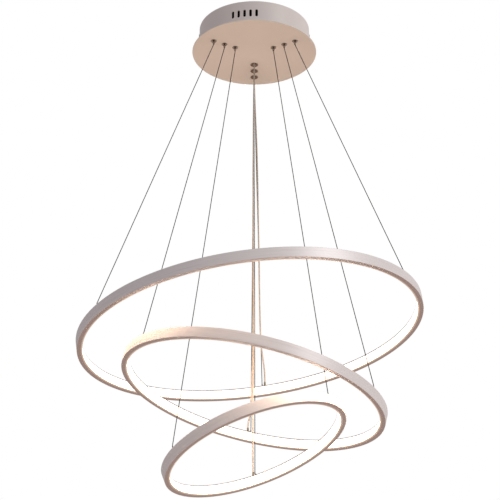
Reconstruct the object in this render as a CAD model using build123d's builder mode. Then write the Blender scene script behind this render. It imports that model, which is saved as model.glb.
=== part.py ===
"""Three-ring LED pendant: a ceiling canopy, nine thin steel wires in self-locking grippers,
three power cords and three tilted aluminium rings with the light on their inner faces.

Millimetres, +Z up. The origin is the middle of the ceiling bracket, on the ceiling.
The vent slots face -Y. Left, right and far are as seen by someone who stands in front of
them, below the lamp, and looks up along +Y.
"""
import os
from math import degrees, pi, radians, sin, tan

from build123d import *

os.makedirs("parts", exist_ok=True)

# ---------------------------------------------------------------- ceiling canopy
housing_diameter = 270
housing_height = 62
housing_wall = 1.2
housing_flange = 13          # bottom edge turned in, flat on the plate
plate_diameter = 304
plate_thickness = 2
plate_edge_radius = 0.9

vent_count = 5
vent_width = 6.4
vent_length = 20
vent_pitch_angle = 6.2
vent_first_angle = 247.4     # seen from above, from +X towards +Y
vent_height = 31             # slot centre above the plate's lower face

bracket_width = 30
bracket_thickness = 2
bracket_tab_length = 24
bracket_gap = 0.3            # tab to housing wall
bracket_slot_spacing = 80
bracket_slot_length = 30
bracket_slot_width = 5.5
bracket_cable_hole = 11
side_screw_drop = 14         # side screw below the ceiling
side_screw_diameter = 4
side_screw_length = 10
side_screw_head = 7
side_screw_head_height = 1.6
side_screw_slot_length = 5.4
side_screw_slot_width = 1
side_screw_slot_depth = 0.8
screw_clearance = 0.2        # on the radius, in plain holes
thread_gap = 0.03            # on the radius, where a screw sits in its thread
cut_margin = 1               # how far a cut starts or ends outside the solid

stud_count = 6
stud_first_angle = 30
stud_inset = 6.8             # stud axis inside the housing's wall
stud_diameter = 4
stud_length = 8
stud_chamfer = 0.5
stud_nut_size = 7
stud_nut_height = 3.2

# ---------------------------------------------------------------- wire grippers
gripper_azimuths = {"left": 210, "right": 330, "far": 90}
gripper_inset = 6.8          # outermost gripper's axis inside the housing's flange
gripper_row_spacing = 30     # from one ring's grippers to the next, along a radius
gripper_flange_diameter = 14
far_flange_diameter = 19     # the far ones also let the power cord through
gripper_flange_height = 1.6
gripper_flange_chamfer = 0.4
gripper_cone_diameter = 7
gripper_cone_height = 3
gripper_rim = 0.6
barrel_diameter = 7
barrel_length = 16           # above the plate's top face
barrel_cap = 2.5
barrel_clearance = 0.2
locknut_size = 10
locknut_height = 3
plunger_diameter = 5
plunger_clearance = 0.08
plunger_reach = 5            # nose below the cone
plunger_tip_diameter = 3.8
plunger_tip_height = 2
plunger_travel = 2
plunger_insert = 6.5         # length above the nose's cone end
spring_outer = 4.8
spring_inner = 3
wire_diameter = 2
wire_hole = 2.6
wire_tail_top = 20           # tails end this far below the ceiling
wire_tail_drop = 0.1         # tails start this far below the plunger's nose
wire_split = 0.02            # between a tail and the slanting wire under it

# ---------------------------------------------------------------- drivers and wiring
driver_azimuths = (270, 30, 150)
driver_radius = 76
driver_length = 104
driver_width = 34
driver_height = 22
driver_wall = 1.6
driver_lid = 1.6
driver_ear = 8
driver_screw_diameter = 3
driver_screw_length = 5
driver_screw_head = 5.5
driver_screw_head_height = 1.6
driver_lead_run = 9          # leads run straight into a case for this long
board_thickness = 1.6
board_gap = 0.3
board_standoff = 4
board_post_diameter = 4
board_post_inset = 3
transformer_size = 18
transformer_shift = -6       # along the board, from its middle
capacitor_diameter = 10
capacitor_places = ((28, 4), (-34, -4))
component_height = 10
terminal_length = 30
terminal_width = 18
terminal_height = 14
terminal_bore_count = 3
terminal_bore_clearance = 0.2
terminal_spacing = 9
terminal_screw_diameter = 3.2
terminal_screw_depth = 1     # screw heads below the block's top
terminal_screw_length = 3.47
terminal_screw_slot_width = 0.7
terminal_screw_slot_depth = 0.8
lead_diameter = 2.8
cord_diameter = 3.6
cord_hole_clearance = 0.15
cord_offset = 6.8            # cord in front of the wire, in the far grippers

# ---------------------------------------------------------------- rings
large_ring_diameter = 800
medium_ring_diameter = 612
small_ring_diameter = 431
large_ring_drop = 803.5      # ring centre below the ceiling
medium_ring_drop = 957
small_ring_drop = 1086.5
large_ring_shift = -8        # ring centre along X
medium_ring_shift = 0
small_ring_shift = 1.5
large_ring_tilt = -7.5       # about Y: negative is left side down
medium_ring_tilt = 12.8
small_ring_tilt = -19.7
small_ring_nod = -2.9        # about X: negative is far side down

channel_depth = 13
channel_height = 24.4
channel_wall = 1.5
channel_corner = 0.7
diffuser_thickness = 1.8
diffuser_clearance = 0.15
strip_thickness = 0.5
strip_width = 10
led_size = 3.5
led_height = 0.9
led_root = 0.1               # sunk into the strip
led_spacing = 28
anchor_inset = 6.5           # anchor axis inside the ring's outer face
anchor_collar = 5.2
anchor_collar_height = 2.2
anchor_ferrule = 3.2
anchor_ferrule_height = 4.2
anchor_stud = 3
anchor_stud_end = 1          # past its nut
anchor_nut_size = 5.5
anchor_nut_height = 2.4
wire_end_gap = 0.6           # the slanting wire's end over its upright ferrule
cord_exit_run = 16           # straight out of the gripper's flange
cord_end_run = 10            # straight down into its gland's sleeve
lead_rise = 12.6             # the same cord, straight up into the canopy
cord_gland_diameter = 4.8
cord_gland_flange = 6
cord_gland_flange_height = 1.4
cord_gland_ball = 5.4        # on the flange, so that the sleeve stands upright on a tilted ring
cord_gland_sleeve = 9        # above the ball's centre
cord_gland_sleeve_diameter = 4.9
cord_gland_sleeve_tip = 4.3
cord_gland_tail = 1.5        # inside the channel
cord_gland_step = 6.2        # gland beside the far anchor, along the ring

# ---------------------------------------------------------------- worked out
plate_top = -housing_height
plate_bottom = plate_top - plate_thickness
housing_radius = housing_diameter / 2
housing_inner = housing_radius - housing_wall
flange_inner = housing_inner - housing_flange
stud_radius = housing_inner - stud_inset
large_gripper_radius = flange_inner - gripper_inset
medium_gripper_radius = large_gripper_radius - gripper_row_spacing
small_gripper_radius = medium_gripper_radius - gripper_row_spacing
cone_bottom = plate_bottom - gripper_flange_height - gripper_cone_height
nose_bottom = cone_bottom - plunger_reach
plunger_top = cone_bottom + plunger_insert
barrel_top = plate_top + barrel_length
spring_bottom = plunger_top + plunger_travel
spring_top = barrel_top - barrel_cap
wire_radius = wire_diameter / 2
cord_hole_radius = cord_diameter / 2 + cord_hole_clearance
flange_bottom = plate_bottom - gripper_flange_height
anchor_height = anchor_collar_height + anchor_ferrule_height


def save(builder, name):
    """Label one finished piece and write it as its own file."""
    builder.part.label = name
    export_step(builder.part, f"parts/{name}.step")


def polar(radius, azimuth, z=0.0):
    """A point at this radius and azimuth about the canopy's axis."""
    return Vector(radius, 0, z).rotate(Axis.Z, azimuth)


# ---------------------------------------------------------------- rings and their places
class Ring:
    """Where one ring hangs, and what hangs it."""

    def __init__(self, name, diameter, drop, shift, tilt, nod, gripper_radius, azimuths, cord_side):
        self.name = name
        self.radius = diameter / 2
        self.gripper_radius = gripper_radius
        self.azimuths = dict(zip(gripper_azimuths, azimuths))
        self.cord_side = cord_side
        self.plane = Plane(Location((shift, 0, -drop), (nod, tilt, 0)))
        self.section = Plane(self.plane.origin, self.plane.x_dir, -self.plane.y_dir)
        self.axis = Axis(self.plane.origin, self.plane.z_dir)

    def top(self, azimuth, height=0.0):
        """A point over the middle of the channel, at this height above its top face."""
        reach = self.radius - anchor_inset
        flat = Vector(reach, 0, channel_height / 2 + height).rotate(Axis.Z, azimuth)
        return self.plane.from_local_coords(flat)

    def top_plane(self, azimuth, height=0.0):
        """The plane at that point, with its Z along the ring's own axis."""
        return Plane(self.top(azimuth, height), self.plane.x_dir, self.plane.z_dir)

    def gland_azimuth(self):
        """The power cord enters beside the far anchor."""
        reach = self.radius - anchor_inset
        return self.azimuths["far"] - self.cord_side * degrees(cord_gland_step / reach)

    def gland_ball(self, rise=0.0):
        """The middle of the gland's ball, or a point this far straight above it."""
        return self.top(self.gland_azimuth(), cord_gland_flange_height) + Vector(0, 0, rise)

    def gripper(self, side, z=0.0):
        """A point on the axis of one of this ring's grippers."""
        return polar(self.gripper_radius, gripper_azimuths[side], z)

    def cord_exit(self, z=0.0):
        """A point on the axis of the cord's hole in the far gripper."""
        return self.gripper("far", z) - Vector(0, cord_offset, 0)


RINGS = [
    Ring("large", large_ring_diameter, large_ring_drop, large_ring_shift, large_ring_tilt, 0,
         large_gripper_radius, (211, 331, 85.3), 1),
    Ring("medium", medium_ring_diameter, medium_ring_drop, medium_ring_shift, medium_ring_tilt, 0,
         medium_gripper_radius, (212, 332, 92), -1),
    Ring("small", small_ring_diameter, small_ring_drop, small_ring_shift, small_ring_tilt,
         small_ring_nod, small_gripper_radius, (209, 329, 87.5), -1),
]
GRIPPERS = [(ring, side) for ring in RINGS for side in gripper_azimuths]


# ---------------------------------------------------------------- canopy
def canopy_housing():
    """Open-topped sheet housing with vent slots, side screw holes and a turned-in flange."""
    vent_z = plate_bottom + vent_height
    with BuildPart() as housing:
        with BuildSketch(Plane.XY.offset(plate_top)):
            Circle(housing_radius)
            Circle(housing_inner, mode=Mode.SUBTRACT)
        extrude(amount=housing_height)
        with BuildSketch(Plane.XY.offset(plate_top)):
            Circle(housing_radius)
            Circle(flange_inner, mode=Mode.SUBTRACT)
        extrude(amount=housing_wall)
        for index in range(vent_count):
            azimuth = vent_first_angle + index * vent_pitch_angle
            outward = polar(1, azimuth)
            start = polar(housing_inner - cut_margin, azimuth, vent_z)
            with BuildSketch(Plane(start, (0, 0, 1), outward)):
                SlotOverall(vent_length, vent_width)
            extrude(amount=housing_wall + 2 * cut_margin, mode=Mode.SUBTRACT)
        for azimuth in (0, 180):
            outward = polar(1, azimuth)
            start = polar(housing_inner - cut_margin, azimuth, -side_screw_drop)
            with BuildSketch(Plane(start, (0, 0, 1), outward)):
                Circle(side_screw_diameter / 2 + screw_clearance)
            extrude(amount=housing_wall + 2 * cut_margin, mode=Mode.SUBTRACT)
        with BuildSketch(Plane.XY.offset(plate_top)):
            with PolarLocations(stud_radius, stud_count, start_angle=stud_first_angle):
                Circle(stud_diameter / 2 + screw_clearance)
        extrude(amount=housing_wall, mode=Mode.SUBTRACT)
    save(housing, "canopy_housing")


def canopy_plate():
    """The flat disc under the housing, with a hole for each gripper and for each cord."""
    with BuildPart() as plate:
        with BuildSketch(Plane.XY.offset(plate_bottom)):
            Circle(plate_diameter / 2)
        extrude(amount=plate_thickness)
        fillet(plate.edges().group_by(Axis.Z)[0], plate_edge_radius)
        with BuildSketch(Plane.XY.offset(plate_bottom)):
            with Locations(*[ring.gripper(side) for ring, side in GRIPPERS]):
                Circle(barrel_diameter / 2 + barrel_clearance)
            with Locations(*[ring.cord_exit() for ring in RINGS]):
                Circle(cord_hole_radius)
        extrude(amount=plate_thickness, mode=Mode.SUBTRACT)
    save(plate, "canopy_plate")


def plate_fixings():
    """Weld studs on the plate, and the nuts that hold the housing down on it."""
    with BuildPart() as studs:
        with BuildSketch(Plane.XY.offset(plate_top)):
            with PolarLocations(stud_radius, stud_count, start_angle=stud_first_angle):
                Circle(stud_diameter / 2)
        extrude(amount=stud_length)
        chamfer(studs.edges().group_by(Axis.Z)[-1], stud_chamfer)
    save(studs, "plate_studs")
    with BuildPart() as nuts:
        with BuildSketch(Plane.XY.offset(plate_top + housing_wall)):
            with PolarLocations(stud_radius, stud_count, start_angle=stud_first_angle):
                RegularPolygon(stud_nut_size / 2, 6, major_radius=False)
                Circle(stud_diameter / 2 + thread_gap, mode=Mode.SUBTRACT)
        extrude(amount=stud_nut_height)
    save(nuts, "plate_nuts")


def ceiling_bracket():
    """Cross bar with turned-down ends, slots for the ceiling screws and a hole for the supply."""
    bar_end = housing_inner - bracket_gap
    with BuildPart() as bracket:
        with BuildSketch(Plane.XY):
            Rectangle(2 * bar_end, bracket_width)
            with Locations((-bracket_slot_spacing / 2, 0), (bracket_slot_spacing / 2, 0)):
                SlotOverall(bracket_slot_length, bracket_slot_width, mode=Mode.SUBTRACT)
            Circle(bracket_cable_hole / 2, mode=Mode.SUBTRACT)
        extrude(amount=-bracket_thickness)
        for end in (-1, 1):
            middle = end * (bar_end - bracket_thickness / 2)
            with BuildSketch(Plane.XY):
                with Locations((middle, 0)):
                    Rectangle(bracket_thickness, bracket_width)
            extrude(amount=-bracket_tab_length)
            start = (end * (bar_end + cut_margin), 0, -side_screw_drop)
            with BuildSketch(Plane(start, (0, 1, 0), (-end, 0, 0))):
                Circle(side_screw_diameter / 2 + thread_gap)
            extrude(amount=bracket_thickness + 2 * cut_margin, mode=Mode.SUBTRACT)
        # the ends follow the round wall
        with BuildSketch(Plane.XY):
            Circle(bar_end)
        extrude(amount=-bracket_tab_length, mode=Mode.INTERSECT)
    save(bracket, "ceiling_bracket")


def side_screws():
    """Low-headed screws through the housing wall into the bracket's tabs."""
    with BuildPart() as screws:
        for azimuth in (0, 180):
            outward = polar(1, azimuth)
            seat = Plane(polar(housing_radius, azimuth, -side_screw_drop), (0, 0, 1), outward)
            with BuildSketch(seat):
                Circle(side_screw_diameter / 2)
            extrude(amount=-side_screw_length)
            with BuildSketch(seat):
                Circle(side_screw_head / 2)
            extrude(amount=side_screw_head_height)
            with BuildSketch(seat.offset(side_screw_head_height)):
                Rectangle(side_screw_slot_length, side_screw_slot_width)
                Rectangle(side_screw_slot_width, side_screw_slot_length)
            extrude(amount=-side_screw_slot_depth, mode=Mode.SUBTRACT)
    save(screws, "side_screws")


# ---------------------------------------------------------------- grippers
def gripper_barrels():
    """Nine barrels: a flange and a cone under the plate, a threaded tube above it."""
    with BuildPart() as barrels:
        for ring, side in GRIPPERS:
            flange = gripper_flange_diameter / 2
            cone_top = flange - gripper_rim
            if side == "far":
                flange = far_flange_diameter / 2
                cone_top = cord_offset - cord_hole_radius - gripper_rim
            centre = ring.gripper(side)
            with BuildSketch(Plane(centre, (1, 0, 0), (0, -1, 0))):
                with BuildLine():
                    Polyline(
                        (plunger_diameter / 2 + plunger_clearance, cone_bottom),
                        (gripper_cone_diameter / 2, cone_bottom),
                        (cone_top, flange_bottom),
                        (flange - gripper_flange_chamfer, flange_bottom),
                        (flange, flange_bottom + gripper_flange_chamfer),
                        (flange, plate_bottom),
                        (barrel_diameter / 2, plate_bottom),
                        (barrel_diameter / 2, barrel_top),
                        (wire_hole / 2, barrel_top),
                        (wire_hole / 2, spring_top),
                        (plunger_diameter / 2 + plunger_clearance, spring_top),
                        close=True)
                make_face()
            revolve(axis=Axis(centre, (0, 0, 1)))
        with BuildSketch(Plane.XY.offset(plate_bottom)):
            with Locations(*[ring.cord_exit() for ring in RINGS]):
                Circle(cord_hole_radius)
        extrude(amount=-gripper_flange_height, mode=Mode.SUBTRACT)
    save(barrels, "gripper_barrels")


def gripper_locknuts():
    """Thin nuts that clamp the barrels to the plate."""
    with BuildPart() as locknuts:
        with BuildSketch(Plane.XY.offset(plate_top)):
            with Locations(*[ring.gripper(side) for ring, side in GRIPPERS]):
                RegularPolygon(locknut_size / 2, 6, major_radius=False)
                Circle(barrel_diameter / 2 + thread_gap, mode=Mode.SUBTRACT)
            with Locations(*[ring.cord_exit() for ring in RINGS]):
                Circle(cord_hole_radius, mode=Mode.SUBTRACT)
        extrude(amount=locknut_height)
    save(locknuts, "gripper_locknuts")


def gripper_springs():
    """The spring in each barrel, as a plain sleeve at its closed length."""
    with BuildPart() as springs:
        with BuildSketch(Plane.XY.offset(spring_bottom)):
            with Locations(*[ring.gripper(side) for ring, side in GRIPPERS]):
                Circle(spring_outer / 2)
                Circle(spring_inner / 2, mode=Mode.SUBTRACT)
        extrude(amount=spring_top - spring_bottom)
    save(springs, "gripper_springs")


def release_plunger(ring, side):
    """The nose under one gripper: pushed up, it lets the wire run."""
    centre = ring.gripper(side)
    with BuildPart() as plunger:
        with BuildSketch(Plane(centre, (1, 0, 0), (0, -1, 0))):
            with BuildLine():
                Polyline(
                    (wire_hole / 2, nose_bottom),
                    (plunger_tip_diameter / 2, nose_bottom),
                    (plunger_diameter / 2, nose_bottom + plunger_tip_height),
                    (plunger_diameter / 2, plunger_top),
                    (wire_hole / 2, plunger_top),
                    close=True)
            make_face()
        revolve(axis=Axis(centre, (0, 0, 1)))
    save(plunger, f"{ring.name}_release_{side}")


def wire_tails():
    """The straight ends of the wires, up through the grippers into the canopy."""
    tail_bottom = nose_bottom - wire_tail_drop
    with BuildPart() as tails:
        with BuildSketch(Plane.XY.offset(tail_bottom)):
            with Locations(*[ring.gripper(side) for ring, side in GRIPPERS]):
                Circle(wire_radius)
        extrude(amount=-wire_tail_top - tail_bottom)
    save(tails, "wire_tails")


def suspension_wire(ring, side):
    """One taut wire, from just under the gripper's nose to its anchor on the ring."""
    end = ring.top(ring.azimuths[side], anchor_height + wire_end_gap)
    tail = ring.gripper(side, nose_bottom - wire_tail_drop)
    lean = (end - tail).get_angle(Vector(0, 0, -1))
    start = tail - Vector(0, 0, wire_radius * sin(radians(lean)) + wire_split)
    with BuildPart() as wire:
        with BuildSketch(Plane(start, z_dir=end - start)):
            Circle(wire_radius)
        extrude(amount=(end - start).length)
    save(wire, f"{ring.name}_wire_{side}")


# ---------------------------------------------------------------- drivers and wiring
def driver_planes():
    """The plate's top under each driver, with Y pointing out along its radius."""
    return [Plane(polar(driver_radius, azimuth, plate_top), polar(1, azimuth - 90), (0, 0, 1))
            for azimuth in driver_azimuths]


def drivers():
    """Three LED power supplies: a case with two ears, a lid, a board and two screws each."""
    ear_reach = driver_length / 2 + driver_ear / 2
    for number, plane in enumerate(driver_planes(), 1):
        with BuildPart() as case:
            with BuildSketch(plane):
                Rectangle(driver_length, driver_width)
            extrude(amount=driver_height - driver_lid)
            with BuildSketch(plane.offset(driver_wall)):
                Rectangle(driver_length - 2 * driver_wall, driver_width - 2 * driver_wall)
            extrude(amount=driver_height, mode=Mode.SUBTRACT)
            with BuildSketch(plane):
                with Locations((-ear_reach, 0), (ear_reach, 0)):
                    Rectangle(driver_ear, driver_ear * 1.5)
                    Circle(driver_screw_diameter / 2 + screw_clearance, mode=Mode.SUBTRACT)
            extrude(amount=driver_wall)
        save(case, f"driver_case_{number}")
    with BuildPart() as lids:
        for plane in driver_planes():
            with BuildSketch(plane.offset(driver_height - driver_lid)):
                Rectangle(driver_length, driver_width)
            extrude(amount=driver_lid)
    save(lids, "driver_lids")
    with BuildPart() as boards:
        for plane in driver_planes():
            inner = (driver_length - 2 * driver_wall - 2 * board_gap,
                     driver_width - 2 * driver_wall - 2 * board_gap)
            with BuildSketch(plane.offset(driver_wall + board_standoff)):
                Rectangle(*inner)
            extrude(amount=board_thickness)
            with BuildSketch(plane.offset(driver_wall)):
                with GridLocations(inner[0] - 2 * board_post_inset, inner[1] - 2 * board_post_inset, 2, 2):
                    Circle(board_post_diameter / 2)
            extrude(amount=board_standoff)
            with BuildSketch(plane.offset(driver_wall + board_standoff + board_thickness)):
                with Locations((transformer_shift, 0)):
                    Rectangle(transformer_size, transformer_size)
                with Locations(*capacitor_places):
                    Circle(capacitor_diameter / 2)
            extrude(amount=component_height)
    save(boards, "driver_boards")
    with BuildPart() as screws:
        for plane in driver_planes():
            with BuildSketch(plane.offset(driver_wall)):
                with Locations((-ear_reach, 0), (ear_reach, 0)):
                    Circle(driver_screw_head / 2)
            extrude(amount=driver_screw_head_height)
            with BuildSketch(plane):
                with Locations((-ear_reach, 0), (ear_reach, 0)):
                    Circle(driver_screw_diameter / 2)
            extrude(amount=driver_wall)
    save(screws, "driver_screws")


def terminal_block():
    """Supply terminal in the middle of the plate, with its clamp screws."""
    floor = Plane.XY.offset(plate_top)
    first = -(terminal_bore_count - 1) / 2
    rows = [((first + column) * terminal_spacing, 0) for column in range(terminal_bore_count)]
    block_top = plate_top + terminal_height
    screw_top = block_top - terminal_screw_depth
    with BuildPart() as block:
        with BuildSketch(floor):
            Rectangle(terminal_length, terminal_width)
        extrude(amount=terminal_height)
        with BuildSketch(Plane.XZ.offset(terminal_width)):
            with Locations(*[(x, plate_top + terminal_height / 3) for x, _ in rows]):
                Circle(lead_diameter / 2 + terminal_bore_clearance)
        extrude(amount=-2 * terminal_width, mode=Mode.SUBTRACT)
        with BuildSketch(Plane.XY.offset(block_top)):
            with Locations(*rows):
                Circle(terminal_screw_diameter / 2 + thread_gap)
        extrude(amount=-terminal_height / 2, mode=Mode.SUBTRACT)
    save(block, "terminal_block")
    with BuildPart() as screws:
        with BuildSketch(Plane.XY.offset(screw_top)):
            with Locations(*rows):
                Circle(terminal_screw_diameter / 2)
        extrude(amount=-terminal_screw_length)
        with BuildSketch(Plane.XY.offset(screw_top)):
            with Locations(*rows):
                Rectangle(terminal_screw_diameter, terminal_screw_slot_width)
        extrude(amount=-terminal_screw_slot_depth, mode=Mode.SUBTRACT)
    save(screws, "terminal_screws")


def tube(points, diameter):
    """A cord's tube: straight runs joined by the largest arcs that its runs allow."""
    points = [Vector(point) for point in points]
    radii = []
    for before, corner, after in zip(points, points[1:], points[2:]):
        turn = (corner - before).get_angle(after - corner)
        run = min((corner - before).length, (after - corner).length)
        radii.append(0.45 * run / tan(radians(turn / 2)))
    with BuildPart() as cord:
        with BuildLine():
            path = FilletPolyline(*points, radius=radii)
        with BuildSketch(Plane(points[0], z_dir=points[1] - points[0])):
            Circle(diameter / 2)
        sweep(path=path)
    section = Face(Wire.make_circle(diameter / 2)).area
    print(f"tube: length {path.length:.1f}, tightest arc {min(radii):.1f}, "
          f"volume over section times length {cord.part.volume / section / path.length:.4f}")
    return cord


# Wiring laid by hand on the plate: over the boards' ends, between the grippers.
SUPPLY_ROUTES = [
    [(9, -9, -57.3), (9, -18, -56.5), (20, -26, -51), (38, -18, -47), (60, -15, -46), (78, -23, -47),
     (91, -24, -49)],
    [(-9, -9, -57.3), (-9, -18, -56.5), (-21, -25, -51), (-38, -17, -47), (-60, -15, -46),
     (-78, -23, -47), (-91, -24, -49)],
    [(0, -9, -57.3), (0, -20, -56.5), (9, -34, -52), (25, -44, -48), (46, -50, -48), (63, -57, -49),
     (69, -69, -50)],
]
OUTPUT_ROUTES = {
    "large": [(8, 106, -45), (23, 102, -46)],
    "medium": [(-8, 79, -45), (-23, 92, -46)],
    "small": [(-9, 43, -43), (-27, 32, -36), (-37, 10, -33), (-35, -16, -33),
              (-35, -38, -38), (-48, -51, -44), (-65, -58, -49), (-70, -69, -50)],
}
SUPPLY_ENDS = (("right", 1), ("left", -1), ("near", -1))
OUTPUT_ENDS = {"large": ("right", -1), "medium": ("left", 1), "small": ("near", 1)}


def driver_entry(which, end):
    """Two points that bring a lead square into the end wall of one driver."""
    plane = dict(zip(("near", "right", "left"), driver_planes()))[which]
    height = driver_height / 2
    return [plane.from_local_coords((end * (driver_length / 2 + reach), 0, height))
            for reach in (driver_lead_run, 0)]


def leads():
    """Wiring inside the canopy: terminal to each driver, and each driver to its own cord."""
    supply = [tube(route + driver_entry(*end), lead_diameter).part
              for route, end in zip(SUPPLY_ROUTES, SUPPLY_ENDS)]
    with BuildPart() as supply_leads:
        add(supply)
    save(supply_leads, "supply_leads")
    output = [tube([ring.cord_exit(flange_bottom + rise) for rise in (0, lead_rise)]
                   + OUTPUT_ROUTES[ring.name] + driver_entry(*OUTPUT_ENDS[ring.name]),
                   cord_diameter).part for ring in RINGS]
    with BuildPart() as output_leads:
        add(output)
    save(output_leads, "output_leads")


# The free stretch of each power cord, chosen by hand from the gripper's flange to the ring.
CORD_ROUTES = {
    "large": [(1, 113, -110), (3, 129, -160), (6, 150, -215), (8, 173, -270),
              (9.5, 197, -325), (10.5, 220, -380), (11.5, 243, -434), (13, 265, -489),
              (14, 288, -544), (15, 311, -598), (16, 335, -649), (19, 354, -696),
              (24, 369, -726), (27.5, 383, -748)],
    "medium": [(-0.5, 80, -111), (-1, 90, -161), (-1.5, 102, -218), (-1.5, 116, -276),
               (-2, 131, -334), (-1.5, 146, -392), (-2, 159, -450), (-1.5, 174, -508),
               (-2, 188, -566), (-1.5, 203, -624), (-1, 218.5, -682), (-1.5, 233, -740),
               (-3, 249, -794), (-4.5, 266, -845), (-5.5, 280, -881), (-8.5, 291, -904)],
    "small": [(0, 49, -111), (-0.5, 56, -161), (-1, 64, -219), (-1, 72.5, -278),
              (-0.5, 82, -337), (-1, 90, -396), (-1, 99, -455), (-0.5, 108, -514), (-1, 117, -573),
              (-0.5, 125, -632), (0, 134, -691), (0.5, 144, -750), (0, 152, -809),
              (-1, 162, -868), (-1.5, 173, -926), (-1.5, 184, -977), (-1, 195.5, -1013),
              (-1.5, 202.5, -1037), (-1, 207, -1052)],
}


def power_cord(ring):
    """One power cord, from the far gripper's flange into the gland on its ring."""
    route = [ring.cord_exit(flange_bottom - drop) for drop in (0, cord_exit_run)]
    route += CORD_ROUTES[ring.name]
    route += [ring.gland_ball(cord_gland_sleeve + rise) for rise in (cord_end_run, 0)]
    save(tube(route, cord_diameter), f"{ring.name}_power_cord")


# ---------------------------------------------------------------- rings
def ring_channel(ring):
    """Rolled aluminium channel, open on its inner side, with holes for anchors and cord."""
    middle = ring.radius - channel_depth / 2
    with BuildPart() as channel:
        with BuildSketch(ring.section) as profile:
            with Locations((middle, 0)):
                Rectangle(channel_depth, channel_height)
            fillet(profile.vertices(), channel_corner)
            with Locations((middle - channel_wall, 0)):
                Rectangle(channel_depth, channel_height - 2 * channel_wall, mode=Mode.SUBTRACT)
        revolve(axis=ring.axis)
        for azimuth in ring.azimuths.values():
            with BuildSketch(ring.top_plane(azimuth, cut_margin)):
                Circle(anchor_stud / 2 + screw_clearance)
            extrude(amount=-channel_wall - 2 * cut_margin, mode=Mode.SUBTRACT)
        with BuildSketch(ring.top_plane(ring.gland_azimuth(), cut_margin)):
            Circle(cord_gland_diameter / 2 + screw_clearance)
        extrude(amount=-channel_wall - 2 * cut_margin, mode=Mode.SUBTRACT)
    save(channel, f"{ring.name}_ring_channel")


def ring_light(ring):
    """The opal diffuser in the channel's mouth, and the LED strip on its inner wall."""
    inner = ring.radius - channel_depth
    with BuildPart() as diffuser:
        with BuildSketch(ring.section):
            with Locations((inner + diffuser_thickness / 2, 0)):
                Rectangle(diffuser_thickness,
                          channel_height - 2 * channel_wall - 2 * diffuser_clearance)
        revolve(axis=ring.axis)
    save(diffuser, f"{ring.name}_ring_diffuser")
    backing = ring.radius - channel_wall
    face = backing - strip_thickness
    count = int(2 * pi * face / led_spacing)
    with BuildPart() as strip:
        with BuildSketch(ring.section):
            with Locations((backing - strip_thickness / 2, 0)):
                Rectangle(strip_thickness, strip_width)
        revolve(axis=ring.axis)
        with BuildSketch(ring.plane.offset(-led_size / 2)):
            with PolarLocations(face - led_height / 2 + led_root / 2, count):
                Rectangle(led_height + led_root, led_size)
        extrude(amount=led_size)
    save(strip, f"{ring.name}_ring_led_strip")


def ring_fixings(ring):
    """Wire anchors with their nuts, and the cord's gland, on the channel's top face."""
    with BuildPart() as anchors:
        for azimuth in ring.azimuths.values():
            with BuildSketch(ring.top_plane(azimuth)):
                Circle(anchor_collar / 2)
            extrude(amount=anchor_collar_height)
            with BuildSketch(ring.top_plane(azimuth, anchor_collar_height)):
                Circle(anchor_ferrule / 2)
            extrude(amount=anchor_ferrule_height)
            with BuildSketch(ring.top_plane(azimuth)):
                Circle(anchor_stud / 2)
            extrude(amount=-channel_wall - anchor_nut_height - anchor_stud_end)
    save(anchors, f"{ring.name}_ring_anchors")
    with BuildPart() as nuts:
        for azimuth in ring.azimuths.values():
            with BuildSketch(ring.top_plane(azimuth, -channel_wall)):
                RegularPolygon(anchor_nut_size / 2, 6, major_radius=False)
                Circle(anchor_stud / 2 + thread_gap, mode=Mode.SUBTRACT)
            extrude(amount=-anchor_nut_height)
    save(nuts, f"{ring.name}_ring_anchor_nuts")
    azimuth = ring.gland_azimuth()
    with BuildPart() as gland:
        with BuildSketch(ring.top_plane(azimuth)):
            Circle(cord_gland_flange / 2)
        extrude(amount=cord_gland_flange_height)
        with BuildSketch(ring.top_plane(azimuth)):
            Circle(cord_gland_diameter / 2)
        extrude(amount=-channel_wall - cord_gland_tail)
        with Locations(ring.gland_ball()):
            Sphere(cord_gland_ball / 2)
            Cone(cord_gland_sleeve_diameter / 2, cord_gland_sleeve_tip / 2, cord_gland_sleeve,
                 align=(Align.CENTER, Align.CENTER, Align.MIN))
    save(gland, f"{ring.name}_ring_cord_gland")


canopy_housing()
canopy_plate()
plate_fixings()
ceiling_bracket()
side_screws()
gripper_barrels()
gripper_locknuts()
gripper_springs()
wire_tails()
drivers()
terminal_block()
leads()
for hung_ring in RINGS:
    ring_channel(hung_ring)
    ring_light(hung_ring)
    ring_fixings(hung_ring)
    power_cord(hung_ring)
    for gripper_side in gripper_azimuths:
        release_plunger(hung_ring, gripper_side)
        suspension_wire(hung_ring, gripper_side)
    print(hung_ring.name, "cord from", hung_ring.cord_exit(flange_bottom),
          "to", hung_ring.gland_ball(cord_gland_sleeve),
          "far wire to", hung_ring.top(hung_ring.azimuths["far"], anchor_height))
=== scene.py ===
"""Looks of a three-ring LED pendant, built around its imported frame.

Metres, +Z up. The origin is the middle of the ceiling bracket, on the ceiling, and the vent
slots face -Y. Left, right and far are as seen by someone who looks up along +Y.
"""

from math import cos, degrees, pi, radians, sin, tau

import bpy
from mathutils import Matrix, Vector


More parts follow.
